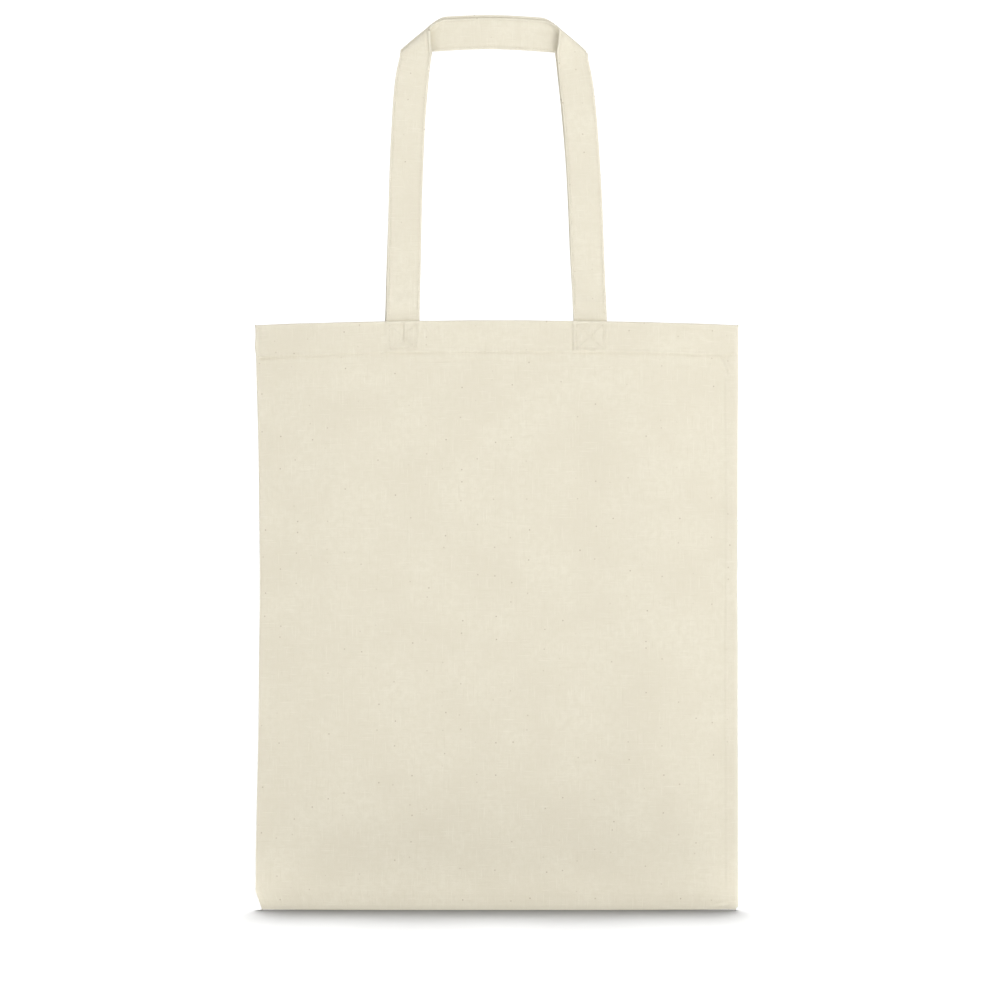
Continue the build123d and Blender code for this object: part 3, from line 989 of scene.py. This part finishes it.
class Handle:
    """One strap: its two legs and the top stretch between them."""

    def __init__(self, sign, feet, tops, raised, seed):
        self.sign = sign
        self.seed = seed
        left_foot = -STRAP_SPACING + feet[0]
        right_foot = STRAP_SPACING + feet[1]
        left_top = np.array([tops[0], raised])
        right_top = np.array([tops[1], raised])
        self.left = Leg(-1, LEFT_SHOULDER + left_top, LEFT_CROWN + left_top, left_foot, 30)
        self.right = Leg(1, RIGHT_SHOULDER + right_top, RIGHT_CROWN + right_top, right_foot, 45)
        self.top_length = self.right.middle[0] - self.left.middle[0]
        self.length = self.left.length + self.top_length + self.right.length

    def points(self, distance, across):
        """Points on the strap's middle surface, at a distance along it from its left end."""
        half = self.left.length + self.top_length / 2
        on_left = distance < half
        from_top = np.abs(distance - half) - self.top_length / 2
        across = across * (1 - TOP_NARROWING * smooth(-from_top, -45, -5))
        left = self.left.points(self.left.length - distance, across)
        right = self.right.points(distance - self.left.length - self.top_length, across)
        points = np.where(on_left[..., None], left, right)
        share = np.clip((distance - self.left.length) / self.top_length, 0, 1)
        rise = self.right.middle[1] - self.left.middle[1]
        level = rise * smooth(share, 0, 1) - np.where(on_left, 0, rise)
        points[..., 2] += level + TOP_ARCH * np.sin(np.pi * share) ** 1.3
        above = smooth(points[..., 2], SEWN_TOP + 4, SEWN_TOP + 30)
        ripple = rough(distance, across * 0.5, 26, self.seed)
        gentle = rough_along(distance, 85, self.seed + 3) * smooth(-share * (1 - share), -0.1, 0)
        points[..., 1] += above * (0.16 * ripple + 0.3 * gentle)
        points[..., 0] += above * 0.25 * rough_along(distance, 60, self.seed + 5)
        return mirrored(points, self.sign)

    def normals(self, distance, across):
        """Towards the face that shows on the legs."""
        step = 0.15
        ahead = self.points(distance + step, across) - self.points(distance - step, across)
        aside = self.points(distance, across + step) - self.points(distance, across - step)
        return unit(np.cross(aside, ahead) * self.sign)

    def places(self):
        """Distances along the strap: close together at the rim and round the folds."""
        sewn = SEWN_LENGTH
        rim = [(0, 1.2), (sewn - 2, 1.0), (sewn - 1, 0.5), (sewn + 9, 0.5), (sewn + 13, 1.5)]
        fold = [(-30, 1.5), (-24, 0.45), (22, 0.45), (28, 1.5)]
        left = self.left.length
        right = self.left.length + self.top_length
        stops = rim + [(left + place, step) for place, step in fold]
        stops += [(right - place, step) for place, step in reversed(fold)]
        stops += [(self.length - place, step) for place, step in reversed(rim)]
        return graded(stops)


def bend_over_rim(piece):
    """Bakes the piece's placement into its mesh."""
    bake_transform(piece)


def make_strap(side, handle, sign):
    distances = handle.places()
    across, off = strip_section(STRAP_WIDTH, STRAP_THICKNESS, dents=(STRAP_WIDTH / 2 - STRAP_ROW,))
    grid_across, grid_distance = np.meshgrid(across, distances)
    plump = 1 + 0.1 * rough(grid_distance, grid_across, 13, handle.seed + 7)
    middle = handle.points(grid_distance, grid_across)
    points = middle + handle.normals(grid_distance, grid_across) * (off * plump)[..., None]
    cloth = np.stack([grid_across, grid_distance], axis=-1) * MM
    wear_and_highlight = hill(STRAP_WIDTH / 2 - np.abs(grid_across), 0, 0.9)
    faces = grid_faces(len(distances), len(across), wrap=True, flip=sign < 0)
    faces += [face[::sign] for face in end_faces(len(distances), len(across))]
    piece = make_piece(f"{side}_strap_cloth", points, faces, cloth, wear_and_highlight, strap_canvas)
    bend_over_rim(piece)
    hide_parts(f"{side}_strap", f"{side}_left_strap_end", f"{side}_right_strap_end")
    return piece


def make_strap_thread(side, handle):
    """Rows of stitches along both edges of the strap, on both faces."""
    starts_at = spaced(SEWN_LENGTH + 2, handle.length - SEWN_LENGTH - 4)
    lift = STRAP_THICKNESS / 2 - 0.12
    lots = []
    for across in (-STRAP_WIDTH / 2 + STRAP_ROW, STRAP_WIDTH / 2 - STRAP_ROW):
        aside = np.full_like(starts_at, across)
        for face in (1, -1):
            normals = handle.normals(starts_at + STITCH / 2, aside) * face
            starts = handle.points(starts_at, aside) + normals * lift
            ends = handle.points(starts_at + STITCH, aside) + normals * lift
            lots.append(stitch_mesh(starts, ends, normals))
    piece = make_thread(f"{side}_strap_stitches", lots, f"{side}_strap_thread", on_bag=False)
    bend_over_rim(piece)


def make_box_thread(side, end, sign, seed):
    """A box and cross of stitches through hem and strap end, outside and inside."""
    middle = STRAP_SPACING * (-1 if end == "left" else 1)
    left, right = middle - BOX_HALF, middle + BOX_HALF
    corners = np.array([(left, BOX_TOP), (right, BOX_TOP), (right, BOX_FOOT), (left, BOX_FOOT)])
    starts, ends = [], []
    for first, last in ((0, 1), (1, 2), (2, 3), (3, 0), (0, 2), (1, 3)):
        run = corners[last] - corners[first]
        count = len(spaced(0, math.hypot(*run) - STITCH_PITCH))
        share = np.arange(count)[:, None] / count
        starts.append(corners[first] + run * share)
        ends.append(corners[first] + run * (share + STITCH / STITCH_PITCH / count))
    starts_x, starts_below = np.concatenate(starts).T
    ends_x, ends_below = np.concatenate(ends).T
    starts = face_at(starts_x, starts_below, seed)
    ends = face_at(ends_x, ends_below, seed)
    normals = mirrored(face_normal(starts_x, starts_below, seed), sign)
    outside = stitch_mesh(mirrored(starts, sign), mirrored(ends, sign), normals)
    starts[:, 1] = STRAP_BASE_Y + STRAP_THICKNESS / 2
    ends[:, 1] = STRAP_BASE_Y + STRAP_THICKNESS / 2
    inwards = np.tile([[0.0, 1.0 * sign, 0.0]], (len(starts), 1))
    inside = stitch_mesh(mirrored(starts, sign), mirrored(ends, sign), inwards)
    make_thread(f"{side}_{end}_box_stitches", [outside, inside], f"{side}_{end}_box_thread")


front_handle = Handle(1, (0, 0), (0, 0), 0, 5.7)
back_handle = Handle(-1, (-1.2, 0.2), (0.4, -1.3), 2.4, 23.9)
front_strap = make_strap("front", front_handle, 1)
back_strap = make_strap("back", back_handle, -1)
make_cloth_light("panel_light", 0.5, [front_panel, back_panel])
make_cloth_light("strap_light", 0.9, [front_strap, back_strap])
make_strap_thread("front", front_handle)
make_strap_thread("back", back_handle)
for end in ("left", "right"):
    for side, sign, seed in SIDES:
        make_box_thread(side, end, sign, seed)


# ---------------------------------------------------------------- seams inside


def make_allowance(side, places, lay, seed):
    """Two layers of cloth turned in along a seam; lay puts (along, across, off) in the bag."""
    across, off = strip_section(ALLOWANCE, 2 * CLOTH, columns=9)
    grid_across, grid_along = np.meshgrid(across, places)
    free = smooth(grid_across, -ALLOWANCE / 2, ALLOWANCE / 2)
    curl = 0.35 * free * rough_along(grid_along, 30, seed)
    points = lay(grid_along, grid_across, off + curl)
    cloth = np.stack([grid_across, grid_along], axis=-1) * MM
    wear_and_highlight = hill(grid_across, ALLOWANCE / 2, 1)
    faces = grid_faces(len(places), len(across), wrap=True) + end_faces(len(places), len(across))
    piece = make_piece(f"{side}_allowance_cloth", points, faces, cloth, wear_and_highlight, canvas)
    sew_to_bag(piece, f"{side}_seam_allowance")
    return piece


def allowance_stitches(places, across, curl, lay, **settings):
    """Rows of stitches on both faces of an allowance."""
    lots = []
    for face in (1, -1):
        off = curl + face * CLOTH
        starts = lay(places, across, off)
        ends = lay(places + STITCH, across, off)
        normals = unit(lay(places, across, off + face) - starts)
        lots.append(stitch_mesh(starts, ends, normals, **settings))
    return lots


def make_seam_rows(side, places, lay):
    """The lockstitch that joins the panels, on both faces of the allowance."""
    across = np.full_like(places, -ALLOWANCE / 2 + 0.9)
    lots = allowance_stitches(places, across, np.zeros_like(places), lay, sink=0.1)
    make_thread(f"{side}_seam_stitches", lots, f"{side}_seam_thread")


def make_overlock(side, first, last, lay, seed):
    """Looper threads that zigzag over the allowance's cut edge, and the needle's row beside them."""
    pitch = 2.2
    edge = ALLOWANCE / 2
    face = CLOTH + THREAD
    deep, near, out = -2.6, -0.2, 0.35
    shape = [(0.0, deep, face), (0.25, near, face), (0.35, out, 0)]
    shape += [(0.45, near, -face), (0.7, deep, -face), (0.9, out, -0.1)]
    loops = spaced(first, last, pitch)
    along = np.concatenate([[start + share * pitch for share, aside, off in shape] for start in loops])
    across = np.tile([edge + aside for share, aside, off in shape], len(loops))
    off = np.tile([off for share, aside, off in shape], len(loops))
    curl = 0.35 * rough_along(along, 30, seed)
    needle = spaced(first, last)
    needle_across = np.full_like(needle, edge - 2.7)
    needle_curl = 0.35 * 0.8 * rough_along(needle, 30, seed)
    lots = [tube_mesh(lay(along, across, off + curl), THREAD * 0.8)]
    lots += allowance_stitches(needle, needle_across, needle_curl, lay)
    name = f"{side}_overlock"
    make_thread(f"{name}_loops", lots, f"{name}_thread", overlock_thread)


def make_seam(side, first, last, short, lay, seed):
    """A seam's allowance, whose cloth may stop short of the end, its stitches and its overlocked edge."""
    piece = make_allowance(side, spaced(first, last - short, 2), lay, seed)
    make_seam_rows(side, spaced(first, last - 3), lay)
    make_overlock(side, first + 1, last - 4, lay, seed)
    return piece


def side_lay(sign):
    """Puts a side allowance along its seam; across grows inwards from the seam."""

    def lay(along, across, off):
        x = HALF_WIDTH - SEAM_ROLL - side_inset(along, sign) - ALLOWANCE / 2 - across
        return np.stack([sign * x, off, along], axis=-1)

    return lay


def bottom_lay(along, across, off):
    """Puts the bottom allowance along its seam; across grows upwards from the seam."""
    z = bottom_lift(along) + FOOT_ROLL + ALLOWANCE / 2 + across
    return np.stack([along, off, z], axis=-1)


allowances = [
    make_seam("left", side_low.z, side_high.z, 2, side_lay(-1), 41.0),
    make_seam("right", side_low.z, side_high.z, 2, side_lay(1), 43.0),
    make_seam("bottom", bottom_low.x, bottom_high.x, 0, bottom_lay, 47.0),
]
